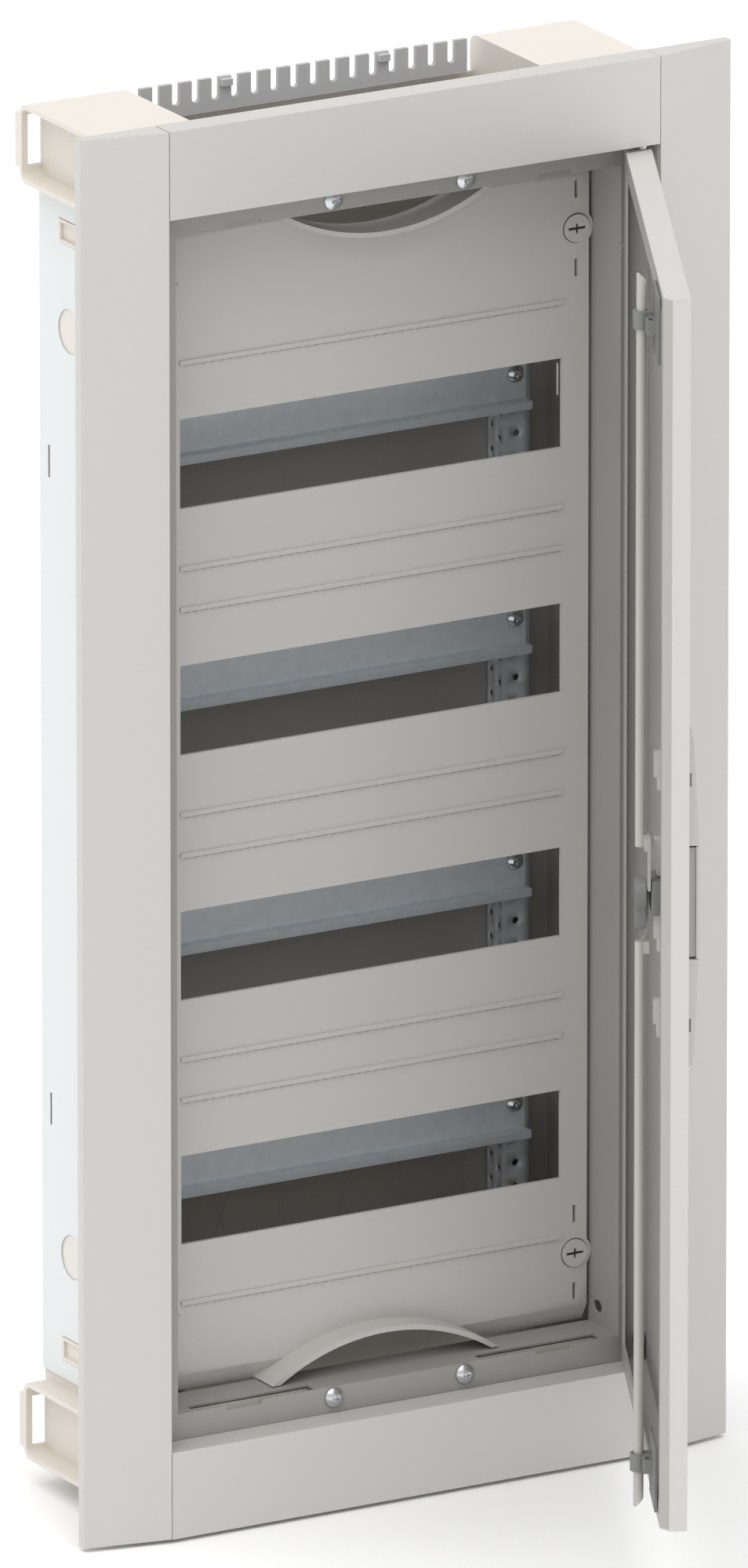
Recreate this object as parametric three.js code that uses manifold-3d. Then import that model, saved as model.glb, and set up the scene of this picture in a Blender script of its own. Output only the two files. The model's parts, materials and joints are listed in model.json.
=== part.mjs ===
// Flush-mounted distribution cabinet with four rows of mounting rail, drawn with its door open.
// Millimetres. X points right, Y points into the wall and Z up. The origin is the middle of the back panel.
import * as THREE from "three";
import { mergeVertices } from "three/addons/utils/BufferGeometryUtils.js";
import Module from "manifold-3d";

const wasm = await Module();
wasm.setup();

// ---- driving dimensions ----
const SHEET = 1.2; // folded steel sheet
const GAP = 0.3; // air between two pieces that touch
const DEPTH = 118; // front face of the frame to the back panel
const FRAME_HEIGHT = 714.6;
const STRIP_HEIGHT = 44.5; // face of the top and bottom frame strips
const STRIP_RUN = 44.6; // sideways reach of each sloping side strip
const STRIP_DROP = 8.9; // how far a side strip slopes back over that reach
const WALL_DEPTH = 14.3; // the frame's rim meets the wall here
const OPENING_WIDTH = 274.5;
const LEDGE_DEPTH = 16.6; // front face of the liner behind the frame
const LINER_HALF_WIDTH = 124.5;
const LINER_HALF_HEIGHT = 299.5;
const COVER_DEPTH = 43.6; // front face of the inner cover
const COVER_SHEET = 2;
const COVER_HALF_WIDTH = 122.1;
const COVER_HALF_HEIGHT = 299;
const ROW_PITCH = 125;
const ROW_COUNT = 4;
const ROWS_DROP = 12.6; // the rows sit this far below the middle
const SLOT_WIDTH = 214.4; // room for twelve 17.5 mm modules
const SLOT_HEIGHT = 45.5;
const RAIL_DEPTH = 92.4; // front lips of the mounting rails
const UPRIGHT_DEPTH = 100.6;
const SHELL_HALF_WIDTH = 143.5;
const SHELL_HALF_HEIGHT = 300.7;
const CAP_TOP = 345.7;
const CAP_BOTTOM = 306;
const LUG_REACH = 154.1; // outer rim of the corner lugs
const HINGE_X = 129.3;
const HINGE_DEPTH = 4.65;
const DOOR_OPEN_DEG = 63.75; // how far the door stands open as drawn
const DOOR_REACH = 264.3; // hinge axis to the free edge
const DOOR_THICK = 13;
const DOOR_HALF_HEIGHT = 310.4;
const ROD_REACH = 221; // hinge axis to the lock rods
const ROD_BACK = -16; // the rods run behind the door, seen from the hinge axis
const ROD_RADIUS = 2.5;
const ROD_TIP = 311.2;

const FRAME_TOP = FRAME_HEIGHT / 2;
const OPENING_X = OPENING_WIDTH / 2;
const OPENING_Z = FRAME_TOP - STRIP_HEIGHT;
const SIDES = [["left", -1], ["right", 1]];
const ENDS = [["top", 1], ["bottom", -1]];

// ---- materials ----
const paint = (color, roughness, metalness = 0) => new THREE.MeshStandardMaterial({ color, roughness, metalness });
const FRAME_PAINT = paint(0xcfcdc9, 0.5);
const SHELL_PAINT = paint(0xeaf0f1, 0.55);
const CAP_PLASTIC = paint(0xded9d1, 0.6);
const LINER_PLASTIC = paint(0xa9a7a3, 0.6);
const COVER_PLASTIC = paint(0xc5c4c1, 0.55);
const GREY_PLASTIC = paint(0x7d807d, 0.55);
const COMB_PLASTIC = paint(0xbdbdbe, 0.6);
const ROD_PAINT = paint(0xb9b8b2, 0.4, 0.3);
const ZINC = paint(0x8f979b, 0.35, 0.9);
const STEEL = paint(0xc9ced3, 0.25, 1);
const BRASS = paint(0xb89a55, 0.35, 1);

// ---- solid helpers ----
const deep = (depth) => depth - DEPTH;

// A closed three.js geometry as a solid that can be joined and cut.
function solid(geometry) {
  const bare = geometry.clone();
  bare.deleteAttribute("normal");
  bare.deleteAttribute("uv");
  const merged = mergeVertices(bare, 1e-4);
  const mesh = new wasm.Mesh({
    numProp: 3,
    vertProperties: new Float32Array(merged.attributes.position.array),
    triVerts: new Uint32Array(merged.index.array),
  });
  return new wasm.Manifold(mesh);
}

// The geometry of a joined and cut solid.
function geometryOf(body) {
  const mesh = body.getMesh();
  const geometry = new THREE.BufferGeometry();
  geometry.setAttribute("position", new THREE.BufferAttribute(mesh.vertProperties, 3));
  geometry.setIndex(new THREE.BufferAttribute(mesh.triVerts, 1));
  geometry.computeVertexNormals();
  return geometry;
}

function block(x0, x1, y0, y1, z0, z1) {
  const box = new THREE.BoxGeometry(Math.abs(x1 - x0), Math.abs(y1 - y0), Math.abs(z1 - z0));
  box.translate((x0 + x1) / 2, (y0 + y1) / 2, (z0 + z1) / 2);
  return solid(box);
}

// A block whose Y limits are depths behind the frame's front face.
const slab = (x0, x1, depth0, depth1, z0, z1) => block(x0, x1, deep(depth0), deep(depth1), z0, z1);

function cylinder(axis, radius, from, to, a, b, sides = 20) {
  const rod = new THREE.CylinderGeometry(radius, radius, Math.abs(to - from), sides);
  const middle = (from + to) / 2;
  if (axis === "x") {
    rod.rotateZ(Math.PI / 2);
    rod.translate(middle, a, b);
  } else if (axis === "y") {
    rod.translate(a, middle, b);
  } else {
    rod.rotateX(Math.PI / 2);
    rod.translate(a, b, middle);
  }
  return solid(rod);
}

function extrusion(shape, from, to, curveSegments = 12) {
  const settings = { depth: Math.abs(to - from), bevelEnabled: false, curveSegments };
  const geometry = new THREE.ExtrudeGeometry(shape, settings);
  geometry.translate(0, 0, Math.min(from, to));
  return geometry;
}

// A shape drawn in (x, y), extruded up Z.
const prismZ = (shape, from, to) => solid(extrusion(shape, from, to));

// A shape drawn in (x, z), extruded into the depth.
function prismY(shape, depth0, depth1, curveSegments = 12) {
  const geometry = extrusion(shape, 0, depth1 - depth0, curveSegments);
  geometry.rotateX(Math.PI / 2);
  geometry.translate(0, deep(depth1), 0);
  return solid(geometry);
}

// A shape drawn in (y, z), extruded along X.
function prismX(shape, x0, x1, curveSegments = 6) {
  const geometry = extrusion(shape, x0, x1, curveSegments);
  const turn = new THREE.Matrix4().makeBasis(
    new THREE.Vector3(0, 1, 0), new THREE.Vector3(0, 0, 1), new THREE.Vector3(1, 0, 0));
  geometry.applyMatrix4(turn);
  return solid(geometry);
}

const polygon = (points) => new THREE.Shape(points.map(([a, b]) => new THREE.Vector2(a, b)));

// The outline of a folded sheet: a path and its copy moved sideways by the thickness, with mitred corners.
function foldedSheet(path, thickness) {
  const points = path.map(([a, b]) => new THREE.Vector2(a, b));
  const normals = points.slice(1).map((point, i) => {
    const along = point.clone().sub(points[i]).normalize();
    return new THREE.Vector2(-along.y, along.x);
  });
  const moved = points.map((point, i) => {
    const before = normals[Math.max(i - 1, 0)];
    const after = normals[Math.min(i, normals.length - 1)];
    const mitre = before.clone().add(after);
    return point.clone().addScaledVector(mitre, (2 * thickness) / mitre.lengthSq());
  });
  return new THREE.Shape([...points, ...moved.reverse()]);
}

function roundedRectangle(a0, a1, b0, b1, radius) {
  const shape = new THREE.Shape();
  shape.absarc(a1 - radius, b1 - radius, radius, 0, Math.PI / 2);
  shape.absarc(a0 + radius, b1 - radius, radius, Math.PI / 2, Math.PI);
  shape.absarc(a0 + radius, b0 + radius, radius, Math.PI, 1.5 * Math.PI);
  shape.absarc(a1 - radius, b0 + radius, radius, 1.5 * Math.PI, 2 * Math.PI);
  return shape;
}

const mirrorX = (body) => body.mirror([1, 0, 0]);
const mirrorZ = (body) => body.mirror([0, 0, 1]);
const joined = (bodies) => bodies.reduce((sum, body) => sum.add(body));
const without = (body, cuts) => cuts.reduce((rest, cut) => rest.subtract(cut), body);

const cabinet = new THREE.Group();

function place(name, body, material, parent = cabinet) {
  const mesh = new THREE.Mesh(geometryOf(body), material);
  mesh.name = name;
  parent.add(mesh);
  return mesh;
}

// ---- flush frame ----
// A side strip is a shallow pan: a face that slopes back to the wall, a rim all round and a deep inner return.
function sideStrip() {
  const outerX = OPENING_X + STRIP_RUN;
  const slope = STRIP_DROP / STRIP_RUN;
  const rim = polygon([
    [OPENING_X, deep(0)],
    [outerX, deep(STRIP_DROP)],
    [outerX, deep(WALL_DEPTH)],
    [OPENING_X, deep(WALL_DEPTH)],
  ]);
  const hollow = polygon([
    [OPENING_X + SHEET, deep(SHEET * (1 + slope))],
    [outerX - SHEET, deep(STRIP_DROP + SHEET)],
    [outerX - SHEET, deep(WALL_DEPTH + 1)],
    [OPENING_X + SHEET, deep(WALL_DEPTH + 1)],
  ]);
  const pan = prismZ(rim, -FRAME_TOP, FRAME_TOP).subtract(prismZ(hollow, -FRAME_TOP + SHEET, FRAME_TOP - SHEET));
  const returnLeg = slab(OPENING_X, OPENING_X + SHEET, 1, LEDGE_DEPTH - GAP, -OPENING_Z, OPENING_Z);
  return pan.add(returnLeg);
}

function endStrip() {
  const halfWidth = OPENING_X - GAP;
  const back = WALL_DEPTH + 1;
  const outer = slab(-halfWidth, halfWidth, 0, WALL_DEPTH, OPENING_Z, FRAME_TOP);
  const hollow = slab(-halfWidth + SHEET, halfWidth - SHEET, SHEET, back, OPENING_Z + SHEET, FRAME_TOP - SHEET);
  const returnLeg = slab(-halfWidth, halfWidth, 1, LEDGE_DEPTH - GAP, OPENING_Z, OPENING_Z + SHEET);
  const pinHole = cylinder("z", 2.9, OPENING_Z - 1, OPENING_Z + 3, HINGE_X, deep(HINGE_DEPTH), 16);
  return without(outer, [hollow]).add(returnLeg).subtract(pinHole);
}

function buildFrame() {
  place("frame_strip_right", sideStrip(), FRAME_PAINT);
  place("frame_strip_left", mirrorX(sideStrip()), FRAME_PAINT);
  place("frame_strip_top", endStrip(), FRAME_PAINT);
  place("frame_strip_bottom", mirrorZ(endStrip()), FRAME_PAINT);
}

// ---- liner: the plastic tunnel between the frame and the inner cover ----
const LINER_BACK = 46;
const LINER_WALL = 1.2;
const LINER_PLATE_TOP = 318;
const ROD_SLOT = { from: 47, to: 115, back: 25.5 };
const CATCH = { from: 77.5, to: 97, height: 2.4 };
const FRAME_SCREW_X = 37;
const FRAME_SCREW_Z = 305;

function linerEnd() {
  const plateBack = LEDGE_DEPTH + LINER_WALL;
  const z = LINER_HALF_HEIGHT;
  const plate = slab(-140, 140, LEDGE_DEPTH, plateBack, z, LINER_PLATE_TOP);
  const ledge = slab(-129, 129, plateBack - 0.1, LINER_BACK, z, z + LINER_WALL);
  const cuts = [];
  for (const side of [-1, 1]) {
    const { from, to, back } = ROD_SLOT;
    cuts.push(slab(side * from, side * to, plateBack, back, z - 1, z + 3));
    cuts.push(slab(side * CATCH.from, side * CATCH.to, LEDGE_DEPTH - 1, plateBack + 0.1, z - 1, z + CATCH.height));
    cuts.push(cylinder("y", 2.4, deep(LEDGE_DEPTH - 1), deep(plateBack + 1), side * FRAME_SCREW_X, FRAME_SCREW_Z, 12));
  }
  return without(plate.add(ledge), cuts);
}

function linerSide() {
  const x = LINER_HALF_WIDTH;
  const halfHeight = LINER_HALF_HEIGHT + 0.5;
  const wall = slab(x, x + LINER_WALL, LEDGE_DEPTH, LINER_BACK, -halfHeight, halfHeight);
  const lip = slab(x, x + 4.6, LEDGE_DEPTH, LEDGE_DEPTH + LINER_WALL, -halfHeight, halfHeight);
  const outline = roundedRectangle(deep(33), deep(41), -293, -287, 2.9);
  const cableNotch = prismX(outline, x - 1, x + 3);
  return wall.add(lip).subtract(cableNotch);
}

function buildLiner() {
  const pieces = [linerEnd(), mirrorZ(linerEnd()), linerSide(), mirrorX(linerSide())];
  place("inner_frame", joined(pieces), LINER_PLASTIC);
}

const HEAD_HEIGHT = 2.9;

// A screw with a domed head, its axis along Y. The head stands on a face at the given depth.
function screw(x, z, depth, headRadius, shankRadius, length) {
  const top = -HEAD_HEIGHT;
  const dome = [[0, top], [headRadius * 0.45, top * 0.92], [headRadius * 0.85, top * 0.56]];
  const rim = [[headRadius, top * 0.16], [headRadius, 0]];
  const shank = [[shankRadius, 0], [shankRadius, length], [0, length]];
  const outline = [...dome, ...rim, ...shank].map(([r, y]) => new THREE.Vector2(r, y));
  const lathe = new THREE.LatheGeometry(outline, 12);
  lathe.translate(x, deep(depth - GAP), z);
  const cross = headRadius * 0.4;
  const [crown, floor] = [depth - HEAD_HEIGHT - 2, depth - HEAD_HEIGHT + 1];
  const cuts = [
    slab(x - cross, x + cross, crown, floor, z - 0.5, z + 0.5),
    slab(x - 0.5, x + 0.5, crown, floor, z - cross, z + cross),
  ];
  return without(solid(lathe), cuts);
}

function buildFrameScrews() {
  for (const [end, up] of ENDS) {
    for (const [side, way] of SIDES) {
      const body = screw(way * FRAME_SCREW_X, up * FRAME_SCREW_Z, LEDGE_DEPTH, 5.2, 2, 14);
      place(`frame_screw_${end}_${side}`, body, STEEL);
    }
  }
}

// ---- rear housing ----
const SHELL_FRONT = 19;
const WINDOW = { near: 75, far: 98, low: 279, high: 291.5 };
const KNOCKOUT = { depth: 88, z: 236, radius: 11.3, recess: 0.8 };
const SIDE_SLIT = { depth: 108.9, low: 157, high: 173.5, width: 1.8 };

function rearHousing() {
  const x = SHELL_HALF_WIDTH;
  const back = slab(-x, x, DEPTH - SHEET, DEPTH, -SHELL_HALF_HEIGHT, SHELL_HALF_HEIGHT);
  const parts = [back];
  const cuts = [];
  for (const side of [-1, 1]) {
    const inner = side * (x - SHEET);
    parts.push(slab(side * x, inner, SHELL_FRONT, DEPTH, -SHELL_HALF_HEIGHT, SHELL_HALF_HEIGHT));
    const [x0, x1] = [side * (x - 3), side * (x + 1)];
    for (const up of [-1, 1]) {
      cuts.push(slab(x0, x1, WINDOW.near, WINDOW.far, up * WINDOW.low, up * WINDOW.high));
      const recess = side * (x - KNOCKOUT.recess);
      cuts.push(cylinder("x", KNOCKOUT.radius, recess, x1, deep(KNOCKOUT.depth), up * KNOCKOUT.z, 28));
      const { depth, width, low, high } = SIDE_SLIT;
      cuts.push(slab(x0, x1, depth - width / 2, depth + width / 2, up * low, up * high));
    }
  }
  return without(joined(parts), cuts);
}

// ---- end caps with their corner lugs ----
const CAP_WALL = 2.4;
const CAP_FRONT = 26;
const CAP_HALF_WIDTH = 142;
const ENTRY = { halfWidth: 98, front: 48, floor: 327 };
const LUG = { front: 24, back: 118.4, radius: 6 };
const LUG_WINDOW = { near: 142.4, far: 150.6, low: 314, high: 339.8 };
const LUG_FOOT = { near: 150.9, low: 313, high: 340.5 };
const FOOT_DEPTH = 122.4;

function capBody() {
  const x = CAP_HALF_WIDTH;
  const skirt = 276;
  const w = CAP_WALL;
  const outerOutline = roundedRectangle(deep(CAP_FRONT), deep(DEPTH), CAP_TOP - 60, CAP_TOP, LUG.radius);
  const outer = prismX(outerOutline, -x, x).intersect(slab(-x, x, CAP_FRONT, DEPTH, 301.5, CAP_TOP));
  const hollow = slab(-x + w, x - w, CAP_FRONT + w, DEPTH - w, 200, CAP_TOP - w);
  const partitions = [];
  const cuts = [];
  for (const side of [-1, 1]) {
    const wall = prismX(outerOutline, side * ENTRY.halfWidth, side * (ENTRY.halfWidth + w));
    partitions.push(wall.intersect(slab(-x, x, CAP_FRONT + 1, DEPTH, 303, CAP_TOP)));
    const tail = slab(side * x, side * (x - w), CAP_FRONT + 4, DEPTH - SHEET - GAP, skirt, 303);
    partitions.push(tail);
    cuts.push(cylinder("y", 2.5, deep(CAP_FRONT - 1), deep(CAP_FRONT + 5), side * FRAME_SCREW_X, FRAME_SCREW_Z, 12));
  }
  const entry = slab(-ENTRY.halfWidth, ENTRY.halfWidth, ENTRY.front, DEPTH + 5, ENTRY.floor, CAP_TOP + 5);
  return without(joined([outer.subtract(hollow), ...partitions]).subtract(entry), cuts);
}

// The tongue of the cap that snaps into a window of the rear housing.
function capSnap(side) {
  const x = side * CAP_HALF_WIDTH;
  const { near, far, low, high } = WINDOW;
  const rim = slab(x - side * 0.5, side * (SHELL_HALF_WIDTH + 0.4), near + GAP, far - GAP, low + GAP, high - GAP);
  const well = slab(x + side * 0.2, x + side * 4, near + 2, far - 2, low + 2, high - 2);
  return rim.subtract(well);
}

function capLug(side) {
  const { front, back, radius } = LUG;
  const w = CAP_WALL;
  const [inner, rim] = [side * (CAP_HALF_WIDTH - 0.5), side * LUG_REACH];
  const outerOutline = roundedRectangle(deep(front), deep(back), CAP_BOTTOM, CAP_TOP, radius);
  const innerOutline = roundedRectangle(deep(front) + w, deep(back) - w, CAP_BOTTOM + w, CAP_TOP - w, radius - w);
  const ring = prismX(outerOutline, inner, rim);
  const hollow = prismX(innerOutline, side * (CAP_HALF_WIDTH + 0.3), side * (LUG_REACH + 1));
  const foot = slab(side * LUG_FOOT.near, rim, back - 1, FOOT_DEPTH, LUG_FOOT.low, LUG_FOOT.high);
  const { near, far, low, high } = LUG_WINDOW;
  const window = slab(side * near, side * far, back - 6, FOOT_DEPTH + 1, low, high);
  return ring.subtract(hollow).add(foot).subtract(window);
}

function endCap() {
  const pieces = [capBody()];
  for (const side of [-1, 1]) pieces.push(capLug(side), capSnap(side));
  return joined(pieces);
}

// ---- cable entry ----
const COMB = { teeth: 17, pitch: 11.03, slot: 4.1, slotDepth: 11.2, bottom: 329, front: 109.6, thick: 2.6 };

const HOOKED_TEETH = [5, 13];

// The comb is an upright strip whose open slots each hold one cable.
function cableComb() {
  const { teeth, pitch, slot, slotDepth, bottom, front, thick } = COMB;
  const toothWidth = pitch - slot;
  const half = ((teeth - 1) * pitch + toothWidth) / 2;
  const radius = slot / 2;
  const shape = new THREE.Shape();
  shape.moveTo(-half, bottom);
  shape.lineTo(half, bottom);
  shape.lineTo(half, CAP_TOP);
  for (let i = teeth - 1; i > 0; i -= 1) {
    const left = -half + i * pitch;
    const centre = left - radius;
    shape.lineTo(left, CAP_TOP);
    shape.absarc(centre, CAP_TOP - slotDepth + radius, radius, 0, -Math.PI, true);
    shape.lineTo(left - slot, CAP_TOP);
  }
  shape.lineTo(-half, CAP_TOP);
  const strip = prismY(shape, front, front + thick, 4);
  const hooks = HOOKED_TEETH.map((tooth) => {
    const x = -half + toothWidth / 2 + (tooth - 1) * pitch;
    return slab(x - 3, x + 3, front - 2.6, front + 0.5, CAP_TOP - 4.5, CAP_TOP - 1);
  });
  return joined([strip, ...hooks]);
}

function entryPlate() {
  return slab(-ENTRY.halfWidth + 1, ENTRY.halfWidth - 1, ENTRY.front + 1.5, COMB.front - 3, 324.5, 326.6);
}

function buildHousing() {
  place("rear_housing", rearHousing(), SHELL_PAINT);
  place("end_cap_top", endCap(), CAP_PLASTIC);
  place("end_cap_bottom", mirrorZ(endCap()), CAP_PLASTIC);
  place("cable_comb_top", cableComb(), COMB_PLASTIC);
  place("cable_comb_bottom", mirrorZ(cableComb()), COMB_PLASTIC);
  place("entry_plate_top", entryPlate(), COMB_PLASTIC);
  place("entry_plate_bottom", mirrorZ(entryPlate()), COMB_PLASTIC);
}

// ---- mounting uprights and rails ----
const UPRIGHT = { near: 107, far: 122, back: 116.3, halfHeight: 288 };
const RAIL = { half: 119, height: 35, lip: 4.2, thick: 1, drop: 7.5 };
const RAIL_SCREW_X = 112.6;
const rowCentre = (row) => -ROWS_DROP + ((ROW_COUNT - 1) / 2 - row) * ROW_PITCH;

function upright() {
  const { near, far, back, halfHeight } = UPRIGHT;
  const path = [[near, deep(back)], [near, deep(UPRIGHT_DEPTH)], [far, deep(UPRIGHT_DEPTH)], [far, deep(back)]];
  const channel = prismZ(foldedSheet(path, SHEET), -halfHeight, halfHeight);
  const holes = [];
  for (let row = 0; row < ROW_COUNT; row += 1) {
    const z = rowCentre(row);
    holes.push(cylinder("y", 2.3, deep(UPRIGHT_DEPTH - 2), deep(UPRIGHT_DEPTH + 3), RAIL_SCREW_X, z, 10));
  }
  return without(channel, holes);
}

// Standard top-hat section: two front lips joined by a web set back from them.
function railSection(z) {
  const { height, lip, drop, thick } = RAIL;
  const front = deep(RAIL_DEPTH);
  const web = deep(RAIL_DEPTH + drop - thick);
  const [low, high] = [z - height / 2, z + height / 2];
  const path = [[front, low], [front, low + lip], [web, low + lip], [web, high - lip], [front, high - lip], [front, high]];
  return foldedSheet(path.reverse(), thick);
}

function rail(row) {
  const z = rowCentre(row);
  const bar = prismX(railSection(z), -RAIL.half, RAIL.half);
  const holes = [-1, 1].map((side) =>
    cylinder("y", 2.4, deep(RAIL_DEPTH + 4), deep(RAIL_DEPTH + 12), side * RAIL_SCREW_X, z, 10));
  return without(bar, holes);
}

function buildRails() {
  place("upright_right", upright(), ZINC);
  place("upright_left", mirrorX(upright()), ZINC);
  for (let row = 0; row < ROW_COUNT; row += 1) {
    place(`mounting_rail_${row + 1}`, rail(row), ZINC);
    const webFront = RAIL_DEPTH + RAIL.drop - RAIL.thick;
    for (const [side, way] of SIDES) {
      const body = screw(way * RAIL_SCREW_X, rowCentre(row), webFront, 4.8, 1.9, 7);
      place(`rail_screw_${row + 1}_${side}`, body, STEEL);
    }
  }
}

// ---- terminal bars behind the cover ----
const TERMINAL = { z: 250, halfHeight: 4.5, front: 84, back: 92, halfWidth: 100, foot: 120, pitch: 12.5, screws: 15 };

// A brass bar on two cranked feet, bored across for wires, with a clamping screw hole over each bore.
function terminalBar() {
  const { z, halfHeight, front, back, halfWidth, foot, pitch, screws } = TERMINAL;
  const [low, high] = [z - halfHeight, z + halfHeight];
  const parts = [slab(-halfWidth, halfWidth, front, back, low, high)];
  const cuts = [];
  const footBack = UPRIGHT_DEPTH - GAP;
  for (const side of [-1, 1]) {
    parts.push(slab(side * (halfWidth - 3), side * halfWidth, back - 1, footBack, low, high));
    parts.push(slab(side * (halfWidth - 3), side * foot, footBack - 2, footBack, low, high));
  }
  for (let i = 0; i < screws; i += 1) {
    const x = (i - (screws - 1) / 2) * pitch;
    cuts.push(cylinder("z", 2.4, low - 1, high + 1, x, deep(back - 3.4), 8));
    cuts.push(cylinder("y", 1.9, deep(front - 1), deep(back - 4), x, z, 8));
  }
  return without(joined(parts), cuts);
}

function buildTerminalBars() {
  place("neutral_bar", terminalBar(), BRASS);
  place("earth_bar", mirrorZ(terminalBar()), BRASS);
}

// ---- inner cover ----
const COVER_BEND = 290; // the cover turns back above and below this height
const COVER_BEND_BACK = 5;
const COVER_RIM = 8; // the side rims of the cover reach this far back
const LOCK = { x: 115, z: 262.6, radius: 7.1 };
const RIB = { above: 51.3, below: 52.8, halfWidth: 107.5, height: 2.2, proud: 0.9 };
const GRIP = { radius: 112, crown: 278.6, wall: 2.5, front: 29.2 };
const SLITS = [[278, 286.8], [238, 247]];

// The curved hood of a finger grip at the lower edge of the cover.
function gripBand(radius, wall) {
  const centreZ = -GRIP.crown - GRIP.radius;
  const floor = -COVER_HALF_HEIGHT + 0.2;
  const reach = (r) => Math.acos((floor - centreZ) / r);
  const [outer, inner] = [reach(radius), reach(radius - wall)];
  const shape = new THREE.Shape();
  const up = Math.PI / 2;
  shape.absarc(0, centreZ, radius, up - outer, up + outer, false);
  if (wall < radius) shape.absarc(0, centreZ, radius - wall, up + inner, up - inner, true);
  return shape;
}

function gripPocket() {
  const centreZ = -GRIP.crown - GRIP.radius;
  const radius = GRIP.radius - GRIP.wall;
  const half = Math.acos((-COVER_HALF_HEIGHT - 1 - centreZ) / radius);
  const shape = new THREE.Shape();
  shape.absarc(0, centreZ, radius, Math.PI / 2 - half, Math.PI / 2 + half, false);
  return shape;
}

function innerCover() {
  const bendBack = COVER_DEPTH + COVER_BEND_BACK;
  const z = COVER_HALF_HEIGHT;
  const path = [
    [deep(bendBack), z],
    [deep(COVER_DEPTH), COVER_BEND],
    [deep(COVER_DEPTH), -COVER_BEND],
    [deep(bendBack), -z],
  ];
  const parts = [prismX(foldedSheet(path, COVER_SHEET), -COVER_HALF_WIDTH, COVER_HALF_WIDTH)];
  const cuts = [];
  const back = COVER_DEPTH + COVER_SHEET;
  for (let row = 0; row < ROW_COUNT; row += 1) {
    const centre = rowCentre(row);
    const half = SLOT_HEIGHT / 2;
    cuts.push(slab(-SLOT_WIDTH / 2, SLOT_WIDTH / 2, 40, 50, centre - half, centre + half));
    for (const middle of [centre + RIB.above, centre - RIB.below]) {
      const { halfWidth, height, proud } = RIB;
      const [low, high] = [middle - height / 2, middle + height / 2];
      parts.push(slab(-halfWidth, halfWidth, COVER_DEPTH - proud, COVER_DEPTH + 0.5, low, high));
    }
  }
  for (const side of [-1, 1]) {
    const edge = side * COVER_HALF_WIDTH;
    parts.push(slab(edge, edge - side * COVER_SHEET, COVER_DEPTH + 1, COVER_DEPTH + COVER_RIM, -COVER_BEND, COVER_BEND));
    for (const up of [-1, 1]) {
      parts.push(cylinder("y", 9.4, deep(COVER_DEPTH), deep(back), side * LOCK.x, up * LOCK.z, 32));
      cuts.push(cylinder("y", LOCK.radius + 0.45, deep(40), deep(back + 1), side * LOCK.x, up * LOCK.z, 24));
      for (const [low, high] of SLITS) {
        cuts.push(slab(side * LOCK.x - 0.9, side * LOCK.x + 0.9, 40, 50, up * low, up * high));
      }
    }
  }
  const hood = prismY(gripBand(GRIP.radius, GRIP.wall), GRIP.front, COVER_DEPTH + COVER_BEND_BACK);
  const pocket = prismY(gripPocket(), 40, 56);
  const plate = without(joined(parts), [...cuts, pocket, mirrorZ(pocket)]);
  return joined([plate, hood, mirrorZ(hood)]);
}

// A quarter-turn lock: slotted head, shank, and a cross bar that grips behind the post's collar.
function coverLock(x, z) {
  const front = deep(COVER_DEPTH - 1);
  const head = cylinder("y", LOCK.radius, front, deep(COVER_DEPTH + 1.6), x, z, 24);
  const shank = cylinder("y", 3.4, deep(COVER_DEPTH + 1), deep(58), x, z, 12);
  const bar = slab(x - 4.8, x + 4.8, 56, 59, z - 1.6, z + 1.6);
  const cuts = [
    block(x - 4.8, x + 4.8, front - 1, front + 1.8, z - 0.65, z + 0.65),
    block(x - 0.65, x + 0.65, front - 1, front + 1.8, z - 2.4, z + 2.4),
  ];
  return without(joined([head, shank, bar]), cuts);
}

function coverPost(x, z) {
  const front = deep(COVER_DEPTH + COVER_RIM + GAP);
  const back = deep(UPRIGHT_DEPTH - GAP);
  const tube = cylinder("y", 7, front, back, x, z, 20);
  return tube.subtract(cylinder("y", 5.4, front - 1, deep(62), x, z, 16));
}

function buildCover() {
  place("inner_cover", innerCover(), COVER_PLASTIC);
  for (const [end, up] of ENDS) {
    for (const [side, way] of SIDES) {
      place(`cover_lock_${end}_${side}`, coverLock(way * LOCK.x, up * LOCK.z), COVER_PLASTIC);
      place(`cover_post_${end}_${side}`, coverPost(way * LOCK.x, up * LOCK.z), GREY_PLASTIC);
    }
  }
}

// ---- hinge side of the frame ----
const HINGE_PLATE = { near: 135.5, front: 9.8, low: 232, high: 311 };
const LIP_PIN = { x: 126.6, depth: 14.9, radius: 1.3, heights: [259, -271.5] };

function hingePlate() {
  const { near, front, low, high } = HINGE_PLATE;
  const plate = slab(near, OPENING_X - GAP, front, LEDGE_DEPTH - GAP, low, high);
  const steps = [[237, 243], [262, 270]].map(([a, b]) => slab(near - 1, near + 0.7, 13.2, 15.5, a, b));
  return plate.subtract(joined(steps));
}

function buildHingeSide() {
  place("hinge_plate_top", hingePlate(), LINER_PLASTIC);
  place("hinge_plate_bottom", mirrorZ(hingePlate()), LINER_PLASTIC);
  LIP_PIN.heights.forEach((z, i) => {
    const pin = cylinder("z", LIP_PIN.radius, z - 3.4, z + 3.4, LIP_PIN.x, deep(LIP_PIN.depth), 12);
    place(`latch_pin_${ENDS[i][0]}`, pin, STEEL);
  });
}

// ---- door: drawn shut about its hinge axis, then turned open as a group ----
// `reach` runs from the hinge axis to the free edge, `out` runs outwards from the axis through the door's face.
const door = new THREE.Group();
const FACE = HINGE_DEPTH;
const INNER = FACE - DOOR_THICK;
const HINGE_EDGE = -5.7;
const RETURN_LIP = 11;
const CHAMFER = 4.9;
const HEEL = 2.4; // bevel of the hinge-side edge, which swings past the latch pins

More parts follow.
